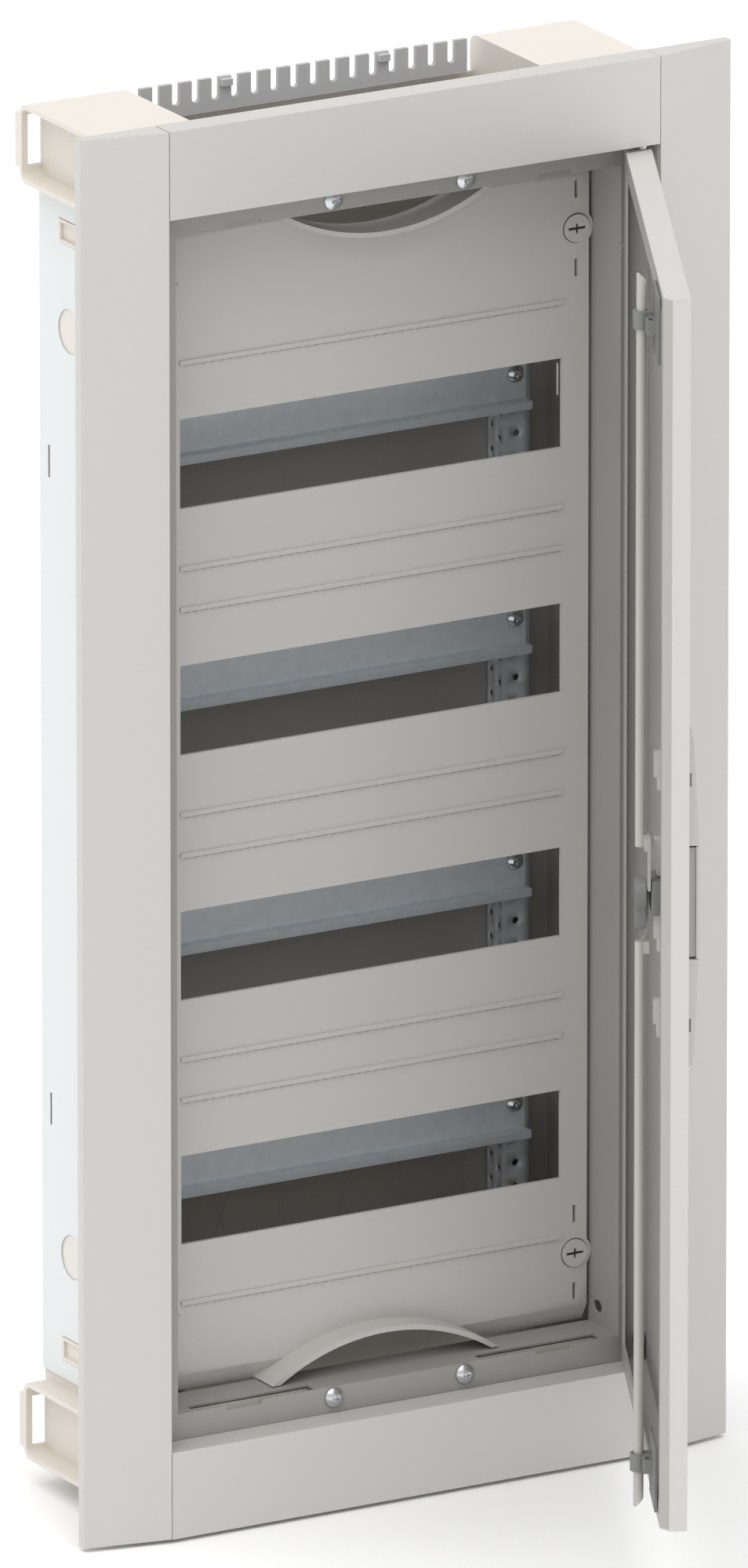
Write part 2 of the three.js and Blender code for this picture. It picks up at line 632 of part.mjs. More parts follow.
const doorSlab = (reach0, reach1, out0, out1, z0, z1) => block(-reach0, -reach1, -out0, -out1, z0, z1);

function doorPanel() {
  const free = DOOR_REACH;
  const path = [
    [-(HINGE_EDGE + RETURN_LIP), -INNER],
    [-HINGE_EDGE - HEEL, -INNER],
    [-HINGE_EDGE, -INNER - HEEL],
    [-HINGE_EDGE, -FACE],
    [-free, -FACE],
    [-free, -INNER - CHAMFER],
    [-free + CHAMFER, -INNER],
    [-free + CHAMFER + RETURN_LIP - 4, -INNER],
  ];
  const top = DOOR_HALF_HEIGHT;
  const shellWall = prismZ(foldedSheet([...path].reverse(), SHEET), -top, top);
  const lidShape = polygon(path.slice(1, 7));
  const parts = [shellWall];
  const cuts = [];
  for (const up of [-1, 1]) {
    parts.push(prismZ(lidShape, Math.min(up * top, up * (top - SHEET)), Math.max(up * top, up * (top - SHEET))));
    parts.push(doorSlab(4, 256, INNER, INNER + SHEET, up * (top - RETURN_LIP), up * (top - 0.5)));
    cuts.push(cylinder("z", ROD_RADIUS + GAP, up * (top - 3), up * (top + 1), 0, 0, 16));
  }
  cuts.push(doorSlab(HANDLE.near + 5, HANDLE.far - 5, FACE - 3, FACE + 1, -THROAT, THROAT));
  for (const z of CLIP.heights) {
    cuts.push(doorSlab(CLIP.near - GAP, CLIP.far + GAP, FACE - 3, FACE + 1, z - 7.5 - GAP, z + 7.5 + GAP));
  }
  return without(joined(parts), cuts);
}

// ---- door handle ----
const HANDLE = { near: 201.5, far: 238.3, half: 82.3, leverHalf: 28.4, end: 4.1, middle: 6.8 };

const THROAT = 8; // half height of the passage from the lever to the lock

// The handle plate is lowest at its two ends and leaves the middle open for the lever.
function handlePlate() {
  const { near, far, half, leverHalf, end, middle } = HANDLE;
  const base = -(FACE + GAP);
  const outline = polygon([
    [base, -half],
    [-(FACE + end), -half],
    [-(FACE + middle), -leverHalf],
    [-(FACE + middle), leverHalf],
    [-(FACE + end), half],
    [base, half],
  ]);
  const body = prismX(outline, -near, -far);
  const middleCut = doorSlab(near - 1, far + 1, FACE + 1.6, FACE + 9, -leverHalf - GAP, leverHalf + GAP);
  const throat = doorSlab(near + 5, far - 5, FACE - 1, FACE + 3, -THROAT, THROAT);
  const notches = [-1, 1].map((up) => doorSlab(far - 2.5, far + 1, FACE + 1, FACE + 2.9, up * 58.7, up * 65.3));
  return without(body, [middleCut, throat, ...notches]).add(joined(CLIP.heights.map(handleClip)));
}

// The lever is a thin lid over the finger recess, turning on a barrel along its hinge-side edge.
const LEVER_AXIS = { reach: 204.6, out: FACE + 4.2 };

function handleLever() {
  const { far, leverHalf, middle } = HANDLE;
  const top = FACE + middle;
  const skin = doorSlab(LEVER_AXIS.reach, far - 0.2, top - 1.5, top, -leverHalf, leverHalf);
  const heel = doorSlab(LEVER_AXIS.reach - 1.6, LEVER_AXIS.reach + 1.6, LEVER_AXIS.out, top, -leverHalf, leverHalf);
  const barrel = cylinder("z", 1.9, -leverHalf, leverHalf, -LEVER_AXIS.reach, -LEVER_AXIS.out, 16);
  const belly = doorSlab(LEVER_AXIS.reach, far - 1.4, FACE + 1.9, top - 1, -leverHalf + 0.8, leverHalf - 0.8);
  return joined([skin, heel, barrel, belly]);
}

// Snap hooks moulded on the handle plate pass through the door skin and spread behind it.
const CLIP = { near: 219.5, far: 222.3, tip: -9.6, heights: [62.3, 19, -19, -62.3] };

function handleClip(z) {
  const { near, far, tip } = CLIP;
  const leg = doorSlab(near, far, tip, FACE + 1.6, z - 7.5, z + 7.5);
  const barb = doorSlab(near, far + 2.4, tip, FACE - SHEET - GAP, z - 9.5, z + 9.5);
  return leg.add(barb).subtract(doorSlab(near - 1, far + 4, tip - 1, tip + 1.6, z - 10, z - 3));
}

// ---- lock behind the door ----
const LOCK_CASE = { near: 211, far: 231, half: 8.8, back: -11 };
const CAM = { front: -13.2, back: -18.5, radius: 8, arm: 14, tip: 4 };
const DRIVE = { low: 24, high: 30, tabEnd: 4, near: 226, far: 231 };

function lockCase() {
  const { near, far, half, back } = LOCK_CASE;
  const skinBack = FACE - SHEET - GAP;
  const body = doorSlab(near, far, back, skinBack, -half, half);
  const recess = doorSlab(near + 2, far - 2, -6, skinBack + 1, -half + 2, half - 2);
  return body.subtract(recess);
}

function lockCam() {
  const reach = -ROD_REACH;
  const boss = cylinder("y", 3.4, -(LOCK_CASE.back - GAP), -(CAM.front - 0.5), reach, 0, 16);
  const disc = cylinder("y", CAM.radius, -CAM.front, -CAM.back, reach, 0, 24);
  const arm = block(reach - CAM.tip, reach + CAM.tip, -CAM.front, -CAM.back, -CAM.arm, 0);
  const tip = cylinder("y", CAM.tip, -CAM.front, -CAM.back, reach, -CAM.arm, 16);
  return joined([boss, disc, arm, tip]);
}

// A lock rod runs up the door and ends in a bevel. A flat tab beside the cam drives it.
function lockRod() {
  const rod = cylinder("z", ROD_RADIUS, DRIVE.low, ROD_TIP, -ROD_REACH, -ROD_BACK, 16);
  const bridge = doorSlab(ROD_REACH - 2, DRIVE.far, -14.5, -11.5, DRIVE.low, DRIVE.high);
  const tab = doorSlab(DRIVE.near, DRIVE.far, -12.9, -11.5, DRIVE.tabEnd, DRIVE.low + 1);
  const bevelSide = polygon([
    [-ROD_BACK - ROD_RADIUS - 1, ROD_TIP - 5],
    [-ROD_BACK - ROD_RADIUS - 1, ROD_TIP + 1],
    [-ROD_BACK + ROD_RADIUS, ROD_TIP + 1],
  ]);
  const bevel = prismX(bevelSide, -ROD_REACH - 5, -ROD_REACH + 5);
  return joined([rod, bridge, tab]).subtract(bevel);
}

function rodGuide() {
  const [low, high] = [284, 293];
  const plate = doorSlab(214, 248, INNER - GAP, INNER - GAP - 1.5, 273, 306);
  const arm = doorSlab(217.6, 224.4, INNER - GAP - 1, ROD_BACK, low, high);
  const ear = doorSlab(225.5, 234, INNER - GAP - 1, -14.6, low, high - 2);
  const web = doorSlab(224, 226, INNER - GAP - 1, -13.2, low, high - 2);
  const ring = cylinder("z", 4.2, low, high, -ROD_REACH, -ROD_BACK, 20);
  const bore = cylinder("z", ROD_RADIUS + 0.35, low - 1, high + 1, -ROD_REACH, -ROD_BACK, 16);
  const eye = doorSlab(227.5, 232, -13.2, -11.2, low - 1, high);
  return without(joined([plate, arm, ear, web, ring]), [bore, eye]);
}

function hingePin() {
  const [low, high] = [DOOR_HALF_HEIGHT - 14, OPENING_Z + 0.9];
  const collar = cylinder("z", 3.2, low, low + 4, 0, 0, 16);
  return cylinder("z", ROD_RADIUS, low, high, 0, 0, 16).add(collar);
}

function buildDoor() {
  door.position.set(HINGE_X, deep(HINGE_DEPTH), 0);
  door.rotation.z = THREE.MathUtils.degToRad(DOOR_OPEN_DEG);
  cabinet.add(door);
  place("door_panel", doorPanel(), FRAME_PAINT, door);
  place("handle_plate", handlePlate(), FRAME_PAINT, door);
  place("handle_lever", handleLever(), FRAME_PAINT, door);
  place("lock_case", lockCase(), GREY_PLASTIC, door);
  place("lock_cam", lockCam(), GREY_PLASTIC, door);
  place("lock_rod_top", lockRod(), ROD_PAINT, door);
  // The lower rod is the upper one turned half round the cam's axis, so the two tabs pass on opposite sides.
  const turned = lockRod().translate([ROD_REACH, 0, 0]).rotate([0, 180, 0]).translate([-ROD_REACH, 0, 0]);
  place("lock_rod_bottom", turned, ROD_PAINT, door);
  place("rod_guide_top", rodGuide(), GREY_PLASTIC, door);
  place("rod_guide_bottom", mirrorZ(rodGuide()), GREY_PLASTIC, door);
  place("hinge_pin_top", hingePin(), STEEL, door);
  place("hinge_pin_bottom", mirrorZ(hingePin()), STEEL, door);
}

buildFrame();
buildLiner();
buildFrameScrews();
buildHousing();
buildRails();
buildTerminalBars();
buildCover();
buildHingeSide();
buildDoor();

export default cabinet;
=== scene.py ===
"""Visible pieces, finishes and stage of a flush-mounted distribution cabinet with its door open."""
import json
import math

import bmesh
import bpy
from mathutils import Matrix, Vector


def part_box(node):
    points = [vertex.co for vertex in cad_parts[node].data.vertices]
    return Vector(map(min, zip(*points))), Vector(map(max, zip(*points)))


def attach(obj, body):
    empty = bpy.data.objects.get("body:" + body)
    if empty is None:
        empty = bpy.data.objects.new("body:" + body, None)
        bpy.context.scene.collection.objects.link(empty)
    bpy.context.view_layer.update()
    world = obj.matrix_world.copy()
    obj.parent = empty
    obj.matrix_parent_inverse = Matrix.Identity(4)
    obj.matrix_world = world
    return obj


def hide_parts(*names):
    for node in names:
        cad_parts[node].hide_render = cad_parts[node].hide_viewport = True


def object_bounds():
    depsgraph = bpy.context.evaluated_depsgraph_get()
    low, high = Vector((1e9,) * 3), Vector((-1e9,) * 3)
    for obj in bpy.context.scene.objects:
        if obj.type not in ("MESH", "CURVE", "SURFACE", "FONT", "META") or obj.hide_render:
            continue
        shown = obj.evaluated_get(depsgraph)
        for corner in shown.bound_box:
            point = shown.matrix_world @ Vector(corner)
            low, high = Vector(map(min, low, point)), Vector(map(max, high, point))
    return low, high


bl_info = {
    "name": "Distribution cabinet looks",
    "version": (1, 0, 0),
    "blender": (4, 5, 0),
    "location": "View3D > Sidebar > Cabinet",
    "description": "Builds the visible pieces, finishes and stage of a distribution cabinet",
    "category": "Object",
}

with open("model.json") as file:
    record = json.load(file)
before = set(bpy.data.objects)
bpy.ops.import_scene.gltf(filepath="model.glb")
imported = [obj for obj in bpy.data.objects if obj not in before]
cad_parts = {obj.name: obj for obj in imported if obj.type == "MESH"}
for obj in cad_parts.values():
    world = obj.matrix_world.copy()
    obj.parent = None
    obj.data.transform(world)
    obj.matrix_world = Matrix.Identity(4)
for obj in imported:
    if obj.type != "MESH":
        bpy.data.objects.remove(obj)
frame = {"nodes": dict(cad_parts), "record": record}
CAD_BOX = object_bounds()
MM = 0.001
SIDES = ("left", "right")
ENDS = ("top", "bottom")
JOINTS = {row["name"]: row for row in frame["record"]["behaviour"]["joints"]}
HINGE = Vector(JOINTS["door_hinge"]["pos_m"])
DOOR_OUT = -Vector(JOINTS["cam_turn"]["axis"])  # outwards through the open door
DOOR_FACE = 4.65 * MM  # hinge axis to the door's outer face
DOOR_REACH = 264.3 * MM  # hinge axis to the free edge
DOOR_HEEL = 5.7 * MM  # how far the door runs on behind the hinge axis
DOOR_SKIN = 0.6 * MM  # the painted shade starts this far inside the pan's outer faces
DOOR_FLAT = 4e-4  # square metres; the rounded edges of the door are smaller than this
LOCK_HEAD = 1.0 * MM  # a cover lock's head stands this far off the cover
LOCK_SLOT = 0.9 * MM  # the slots of a cover lock take painted shadow below this depth
LEVER_LID = 5.4 * MM  # the lever's pale lid stands this far off the door's face; below it the lever takes painted shade
HOUSING_SHEET = 1.2 * MM
HOUSING_SKIN = 0.4 * MM  # the painted shade starts this far inside the housing's outer faces
KNOCKOUT_DEPTH = 30.0 * MM  # back wall to the middle of a side knockout
KNOCKOUT_HEIGHT = 236.0 * MM  # middle of the cabinet to the middle of a side knockout
KNOCKOUT_RADIUS = 11.2 * MM
KNOCKOUT_FLOOR = (1.0 * MM, 0.7 * MM)  # the sunk disc lies between these depths from the side's outer face

ROWS = range(1, 5)  # numbers of the mounting rails, as in the names of their nodes
COVER_RIBS = (51.3 * MM, -52.8 * MM)  # middle of a row to the cover's ribs over and under it
STITCHES = 44
STITCH_PITCH = 4.8 * MM
STITCH_LENGTH = 2.8 * MM
STITCH_HEIGHT = 0.7 * MM
STITCH_PROUD = 0.3 * MM
STITCH_DROP = 2.6 * MM  # rib to the foot of the dashes
RING_COLUMNS = range(-3, 4)
RING_PITCH = 34.5 * MM
RING_SHIFT = 8.0 * MM  # the rings' row is off the middle by this much
RING_HEIGHT = 239.0 * MM  # middle of the cabinet to a row of rings
RING_RADIUS = 16.4 * MM
RING_WIRE = 0.45 * MM
RING_STEPS = 40
WIRE_SIDES = 6
UPRIGHT_SHEET = 1.2 * MM
HOLE_SIDES = 16
SIDE_HOLE = 0.9  # holes in the side of an upright, against those in its front
SIDE_COLUMNS = 2
STAGGER = 0.4  # the side's two columns of holes are this part of a pitch apart in height
RIM_BAR = 1.4  # thickness of the mesh's rim, against its other bars
BAR_STEP = 0.02 * MM  # crossed bars start this far apart, so that no two faces lie in one plane

WELD = 0.02 * MM  # vertices closer than this are one
FLAT = math.radians(0.6)  # faces that meet at less than this are one face
STEEP = math.radians(30)  # edges steeper than this are rounded
CREASE = math.radians(40)  # edges steeper than this are shaded sharp
SHEET_CREASE = math.radians(30)
EDGE_STEPS = 2
EDGES = {  # rounding of each kind of piece; the others take the Edge radius setting
    "inner_frame": 0.3 * MM,
    "hinge_plate": 0.25 * MM,
    "latch_pin": 0.3 * MM,
    "rear_housing": 0.2 * MM,
    "end_cap": 0.4 * MM,
    "cable_comb": 0.25 * MM,
    "mounting_rail": 0.3 * MM,
    "neutral_bar": 0.06 * MM,
    "earth_bar": 0.06 * MM,
    "inner_cover": 0.35 * MM,
    "cover_lock": 0.25 * MM,
    "cover_post": 0.3 * MM,
    "frame_screw": 0.12 * MM,
    "rail_screw": 0.12 * MM,
    "hinge_pin": 0.4 * MM,
    "handle_plate": 0.35 * MM,
    "handle_lever": 0.5 * MM,
    "lock_case": 0.8 * MM,
    "lock_cam": 0.5 * MM,
    "lock_rod": 0.35 * MM,
    "rod_guide": 0.5 * MM,
}

FLOOR_SIZE = 30.0
FLOOR_GAP = 2.0 * MM  # the floor lies this far under the lowest solid
FLOOR_SHADE = (0.97, 0.97, 0.97)
STUDIO_LIGHT = 0.74
OVERHEAD_LIGHT = 1.9
OVERHEAD_SPREAD = math.radians(70)
OVERHEAD_WAY = (0.28, 0.24, -0.93)
CAMERA_TURN = math.radians(29.84)
CAMERA_FALL = math.radians(17.08)
CAMERA_TARGET = Vector((-0.0167, -0.1058, 0.0074))
CAMERA_AWAY = 14.854
CAMERA_LENS = 700
CAMERA_SENSOR = 36
CAMERA_REACH = 100


# ---- settings a user would change ----
def colour(name, text, default):
    return bpy.props.FloatVectorProperty(
        name=name, description=text, default=default, size=3, subtype="COLOR", min=0, max=1
    )


def length(name, text, default):
    return bpy.props.FloatProperty(name=name, description=text, default=default, unit="LENGTH", min=0)


class CabinetColours(bpy.types.PropertyGroup):
    paint: colour("Paint", "Powder coat of the frame and door", (0.565, 0.556, 0.532))
    housing: colour("Housing", "Paint of the rear housing", (0.72, 0.745, 0.745))
    caps: colour("End caps", "Moulded end caps and lugs", (0.74, 0.695, 0.635))
    liner: colour("Inner frame", "Moulded frame behind the door", (0.35, 0.342, 0.322))
    cover: colour("Cover", "Moulded inner cover", (0.565, 0.555, 0.53))
    lock: colour("Lock", "Moulded lock pieces and rod guides", (0.20, 0.205, 0.195))
    comb: colour("Combs", "Cable combs and entry mesh", (0.50, 0.50, 0.50))
    rods: colour("Rods", "Painted lock rods", (0.46, 0.45, 0.42))
    zinc: colour("Zinc", "Galvanised rails and uprights", (0.86, 0.92, 0.97))
    # painted shade: this darker colour stands in for the shade on the housing's inner faces; it is not a
    # primer
    inside: colour("Inside of the housing", "Primer on the inner faces of the housing", (0.42, 0.40, 0.375))
    blank: colour("Knockout blanks", "Discs in the sides of the housing", (0.72, 0.69, 0.64))
    # painted shade: this darker colour stands in for the shade on the faces inside the door's pan; it is not
    # a coat of its own
    door_inside: colour("Inside of the door", "Coat on the faces inside the door's pan", (0.40, 0.39, 0.37))
    # painted shade: this darker colour stands in for the shade on the lever's body below its lid
    lever_belly: colour("Lever belly", "Moulded body under the lever's lid", (0.40, 0.395, 0.375))
    # painted shadow: this near-black colour stands in for the shadow in the cover locks' slots
    slots: colour("Lock slots", "Shaded slots of the cover locks", (0.06, 0.06, 0.06))
    steel: colour("Screws", "Plated screws and pins", (0.66, 0.68, 0.70))
    brass: colour("Brass", "Terminal bars", (0.72, 0.53, 0.24))


class CabinetSizes(bpy.types.PropertyGroup):
    edge: length("Edge radius", "Rounding of folded and moulded edges", 0.6 * MM)
    hole_pitch: length("Hole pitch", "Distance between the holes of an upright", 12.5 * MM)
    hole_radius: length("Hole radius", "Radius of the holes of an upright", 1.8 * MM)
    mesh_pitch: length("Mesh pitch", "Distance between the bars of the cable entry mesh", 3.4 * MM)
    mesh_bar: length("Mesh bar", "Thickness of the bars of the cable entry mesh", 1.0 * MM)


def colours():
    return bpy.context.scene.cabinet_colours


def sizes():
    return bpy.context.scene.cabinet_sizes


# ---- shader maths ----
class Value:
    """A shader socket that takes part in Python expressions."""

    def __init__(self, tree, socket):
        self.tree = tree
        self.socket = socket

    def math(self, operation, *others):
        node = self.tree.nodes.new("ShaderNodeMath")
        node.operation = operation
        for slot, term in zip(node.inputs, (self, *others)):
            if isinstance(term, Value):
                self.tree.links.new(term.socket, slot)
            else:
                slot.default_value = term
        return Value(self.tree, node.outputs[0])

    def __add__(self, other):
        return self.math("ADD", other)

    __radd__ = __add__

    def __sub__(self, other):
        return self.math("SUBTRACT", other)

    def __mul__(self, other):
        return self.math("MULTIPLY", other)

    __rmul__ = __mul__

    def above(self, limit):
        return self.math("GREATER_THAN", limit)

    def below(self, limit):
        return self.math("LESS_THAN", limit)


class Finish:
    """A material being built around one Principled BSDF."""

    def __init__(self, name, colour, roughness, metallic=0.0):
        self.material = bpy.data.materials.new(name)
        self.material.use_nodes = True
        self.tree = self.material.node_tree
        self.shader = self.tree.nodes["Principled BSDF"]
        self.colour = colour
        self.shader.inputs["Base Color"].default_value = (*colour, 1)
        self.shader.inputs["Roughness"].default_value = roughness
        self.shader.inputs["Metallic"].default_value = metallic
        self.material.diffuse_color = (*colour, 1)

    def node(self, kind, output, settings=None, **inputs):
        """Adds a node with its settings first, then its sockets' values or links."""
        made = self.tree.nodes.new(kind)
        for key, value in (settings or {}).items():
            setattr(made, key, value)
        for key, value in inputs.items():
            slot = next(s for s in made.inputs if s.identifier == key)
            if isinstance(value, Value):
                self.tree.links.new(value.socket, slot)
            else:
                slot.default_value = value
        return Value(self.tree, next(s for s in made.outputs if s.identifier == output))

    def place(self):
        return self.node("ShaderNodeTexCoord", "Object")

    def noise(self, scale, detail=3.0, stretch=None):
        at = self.place()
        if stretch:
            at = self.node("ShaderNodeMapping", "Vector", Vector=at, Scale=stretch)
        return self.node("ShaderNodeTexNoise", "Fac", Vector=at, Scale=scale, Detail=detail)

    def axes(self):
        """The X, Y and Z of the place on the piece, as three values."""
        apart = self.node("ShaderNodeSeparateXYZ", "X", Vector=self.place())
        return [Value(self.tree, output) for output in apart.socket.node.outputs]

    def blend(self, mask, first, second):
        """A colour that goes from the first to the second where the mask is high."""
        ends = [end if isinstance(end, Value) else (*end, 1) for end in (first, second)]
        kind = {"data_type": "RGBA"}
        return self.node(
            "ShaderNodeMix", "Result_Color", kind, Factor_Float=mask, A_Color=ends[0], B_Color=ends[1]
        )

    def base(self, value):
        self.surface = value
        self.tree.links.new(value.socket, self.shader.inputs["Base Color"])

    def tint(self, mask, shade):
        """Mixes a darker or lighter shade of the base colour in where the mask is high."""
        other = tuple(min(1.0, c * shade) for c in self.colour)
        self.base(self.blend(mask, self.colour, other))

    def roughness(self, value):
        self.tree.links.new(value.socket, self.shader.inputs["Roughness"])

    def bump(self, height, strength, distance):
        bump = self.node("ShaderNodeBump", "Normal", Strength=strength, Distance=distance, Height=height)
        self.tree.links.new(bump.socket, self.shader.inputs["Normal"])


def once(build):
    """Builds a material the first time it is asked for, and returns the same one after that."""
    made = {}

    def give():
        if "material" not in made:
            made["material"] = build()
        return made["material"]

    return give


def powder_coat(name, base, roughness, grain_strength=0.18):
    finish = Finish(name, base, roughness)
    grain = finish.noise(scale=900.0, detail=2.0)
    cloud = finish.noise(scale=9.0, detail=4.0)
    finish.tint(cloud * 0.5, shade=0.94)
    finish.roughness(roughness + 0.14 * (grain - 0.5) + 0.08 * (cloud - 0.5))
    finish.bump(grain, grain_strength, distance=0.2 * MM)
    return finish


def moulded(name, base, roughness):
    finish = Finish(name, base, roughness)
    grain = finish.noise(scale=1500.0, detail=2.0)
    flow = finish.noise(scale=14.0, stretch=(1.0, 1.0, 0.35))
    finish.tint(flow * 0.6, shade=0.93)
    finish.roughness(roughness + 0.16 * (grain - 0.5))
    finish.bump(grain, strength=0.12, distance=0.12 * MM)
    return finish


@once
def frame_paint():
    finish = powder_coat("frame_powder_coat", colours().paint, roughness=0.42)
    finish.shader.inputs["Coat Weight"].default_value = 0.12
    return finish.material


@once
def housing_paint():
    """White outside, painted shade in warm grey on the inner faces, and pale discs in the pressed knockouts.
    """
    finish = powder_coat("housing_paint", colours().housing, roughness=0.36)
    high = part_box("rear_housing")[1]
    x, y, z = finish.axes()
    width = x.math("ABSOLUTE")
    # painted shade: this marks the housing's inner faces, which take a darker colour in place of the shade
    # inside the box
    inside = width.below(high.x - HOUSING_SKIN) * y.below(high.y - HOUSING_SKIN)
    away_y = y - (high.y - KNOCKOUT_DEPTH)
    away_z = z.math("ABSOLUTE") - KNOCKOUT_HEIGHT
    disc = (away_y * away_y + away_z * away_z).below(KNOCKOUT_RADIUS ** 2)
    deepest, shallowest = KNOCKOUT_FLOOR
    floor = width.above(high.x - deepest) * width.below(high.x - shallowest)
    # painted shade blended onto the housing's inner faces
    outer = finish.blend(inside, finish.surface, colours().inside)
    finish.base(finish.blend(disc * floor, outer, colours().blank))
    return finish.material


def door_axes(finish):
    """How far a place is from the hinge axis: outwards, and along the door to its free edge."""
    out, reach = DOOR_OUT, Vector((DOOR_OUT.y, -DOOR_OUT.x, 0))
    x, y, z = finish.axes()
    outwards = x * out.x + y * out.y - HINGE.dot(out)
    along = x * reach.x + y * reach.y - HINGE.dot(reach)
    return outwards, along, z


@once
def door_paint():
    """Powder coat, with painted shade: a darker colour on the faces inside the folded pan."""
    finish = powder_coat("door_powder_coat", colours().paint, roughness=0.42, grain_strength=0.02)
    outwards, along, z = door_axes(finish)
    behind = outwards.below(DOOR_FACE - DOOR_SKIN)
    between = along.below(DOOR_REACH - DOOR_SKIN) * along.above(-DOOR_HEEL + DOOR_SKIN)
    short = z.math("ABSOLUTE").below(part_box("door_panel")[1].z - DOOR_SKIN)
    # painted shade: the faces inside the pan take the darker inside colour
    finish.base(finish.blend(behind * between * short, finish.surface, colours().door_inside))
    return finish.material


@once
def lever_paint():
    """Pale lid, with painted shade: the lever's body below the lid is coloured greyer."""
    finish = powder_coat("lever_coat", colours().paint, roughness=0.42)
    outwards = door_axes(finish)[0]
    # painted shade on the lever's body below its lid
    belly = outwards.below(DOOR_FACE + LEVER_LID)
    finish.base(finish.blend(belly, finish.surface, colours().lever_belly))
    return finish.material


@once
def rod_paint():
    return powder_coat("rod_paint", colours().rods, roughness=0.38).material


@once
def cap_plastic():
    return moulded("end_cap_plastic", colours().caps, roughness=0.52).material


@once
def liner_plastic():
    return moulded("inner_frame_plastic", colours().liner, roughness=0.55).material


@once
def cover_plastic():
    return moulded("cover_plastic", colours().cover, roughness=0.48).material


@once
def cover_lock_plastic():
    """The cover's plastic, with painted shadow: dark in the slots and round the rim."""
    finish = moulded("cover_lock_plastic", colours().cover, roughness=0.48)
    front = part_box("cover_lock_top_left")[0].y
    # painted shadow: deeper than the slot depth the lock is coloured near black
    slots = finish.axes()[1].above(front + LOCK_SLOT)
    finish.base(finish.blend(slots, finish.surface, colours().slots))
    return finish.material


@once
def lock_plastic():
    return moulded("lock_plastic", colours().lock, roughness=0.5).material


@once
def comb_plastic():
    return moulded("comb_plastic", colours().comb, roughness=0.55).material


@once
def galvanised():
    finish = Finish("galvanised_steel", colours().zinc, roughness=0.38, metallic=0.22)
    spangle = finish.node("ShaderNodeTexVoronoi", "Distance", Vector=finish.place(), Scale=160.0)
    streak = finish.noise(scale=60.0, stretch=(0.25, 1.0, 1.0))
    finish.tint(spangle * 0.5 + streak * 0.3, shade=0.84)
    finish.roughness(0.28 + 0.16 * streak + 0.12 * spangle)
    finish.bump(spangle, strength=0.06, distance=0.2 * MM)
    return finish.material


@once
def plated_steel():
    finish = Finish("plated_steel", colours().steel, roughness=0.25, metallic=1.0)
    turning = finish.noise(scale=420.0)
    finish.tint(turning * 0.5, shade=0.8)
    finish.roughness(0.16 + 0.22 * turning)
    finish.bump(turning, strength=0.05, distance=0.1 * MM)
    return finish.material


@once
def brass():
    finish = Finish("brass", colours().brass, roughness=0.3, metallic=1.0)
    tarnish = finish.noise(scale=70.0, detail=4.0)
    drawn = finish.noise(scale=300.0, detail=2.0, stretch=(0.05, 1.0, 1.0))
    finish.tint(tarnish * 0.8, shade=0.72)
    finish.roughness(0.2 + 0.25 * drawn)
    finish.bump(drawn, strength=0.05, distance=0.1 * MM)
    return finish.material


OWN_FINISH = {"door_panel": door_paint, "handle_lever": lever_paint}
OWN_FINISH.update({f"cover_lock_{end}_{side}": cover_lock_plastic for end in ENDS for side in SIDES})
SLOT_OF = {row["node"]: row["material_slot"] for row in frame["record"]["subparts"]}
BODY_OF = {
    node: body
    for body, nodes in frame["record"]["behaviour"]["bodies"].items()
    for node in nodes
}
FINISH_OF = {
    "frame_paint": frame_paint,
    "shell_paint": housing_paint,
    "cap_plastic": cap_plastic,
    "liner_plastic": liner_plastic,
    "cover_plastic": cover_plastic,
    "grey_plastic": lock_plastic,
    "comb_plastic": comb_plastic,
    "rod_paint": rod_paint,
    "zinc": galvanised,
    "steel": plated_steel,
    "brass": brass,
}


# ---- modelling helpers ----
def settle(mesh, crease=CREASE):
    """Smooth faces, with a sharp line along every edge steeper than the crease."""
    for face in mesh.faces:
        face.smooth = True
    for edge in mesh.edges:
        if len(edge.link_faces) == 2:
            edge.smooth = edge.calc_face_angle(0) < crease


def round_edges(mesh, radius):
    steep = [e for e in mesh.edges if len(e.link_faces) == 2 and abs(e.calc_face_angle(0)) > STEEP]
    bmesh.ops.bevel(
        mesh, geom=steep, offset=radius, offset_type="OFFSET", segments=EDGE_STEPS,
        profile=0.5, affect="EDGES", clamp_overlap=True, material=-1, loop_slide=True,
    )


def placed(mesh, name, material):
    """Puts a mesh in the scene as an object with one material."""
    data = bpy.data.meshes.new(name)
    mesh.to_mesh(data)
    mesh.free()
    data.materials.append(material)
    made = bpy.data.objects.new(name, data)
    bpy.context.scene.collection.objects.link(made)
    return made


def piece_from(mesh, node, crease=CREASE):
    """Finishes a mesh as a visible piece that stands for a CAD node and rides with it."""
    settle(mesh, crease)
    finish = OWN_FINISH.get(node, FINISH_OF[SLOT_OF[node]])
    piece = placed(mesh, node + "_piece", finish())
    weighted = piece.modifiers.new("face weights", "WEIGHTED_NORMAL")
    weighted.keep_sharp = True
    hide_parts(node)
    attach(piece, BODY_OF[node])
    return piece


def added_piece(mesh, name, body, material):
    """Finishes a mesh as a further detail that no CAD node stands for."""
    settle(mesh)
    piece = placed(mesh, name, material)
    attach(piece, body)


def merged_copy(node):
    """The CAD solid with its loose triangles joined and its flat faces whole. A hollow outline is split,
    because the bevel would cross its corners."""
    mesh = bmesh.new()
    mesh.from_mesh(frame["nodes"][node].data)
    bmesh.ops.remove_doubles(mesh, verts=mesh.verts, dist=WELD)
    bmesh.ops.dissolve_limit(
        mesh, angle_limit=FLAT, use_dissolve_boundaries=False,
        verts=mesh.verts, edges=mesh.edges, delimit=set(),
    )
    bmesh.ops.connect_verts_concave(mesh, faces=mesh.faces)
    return mesh


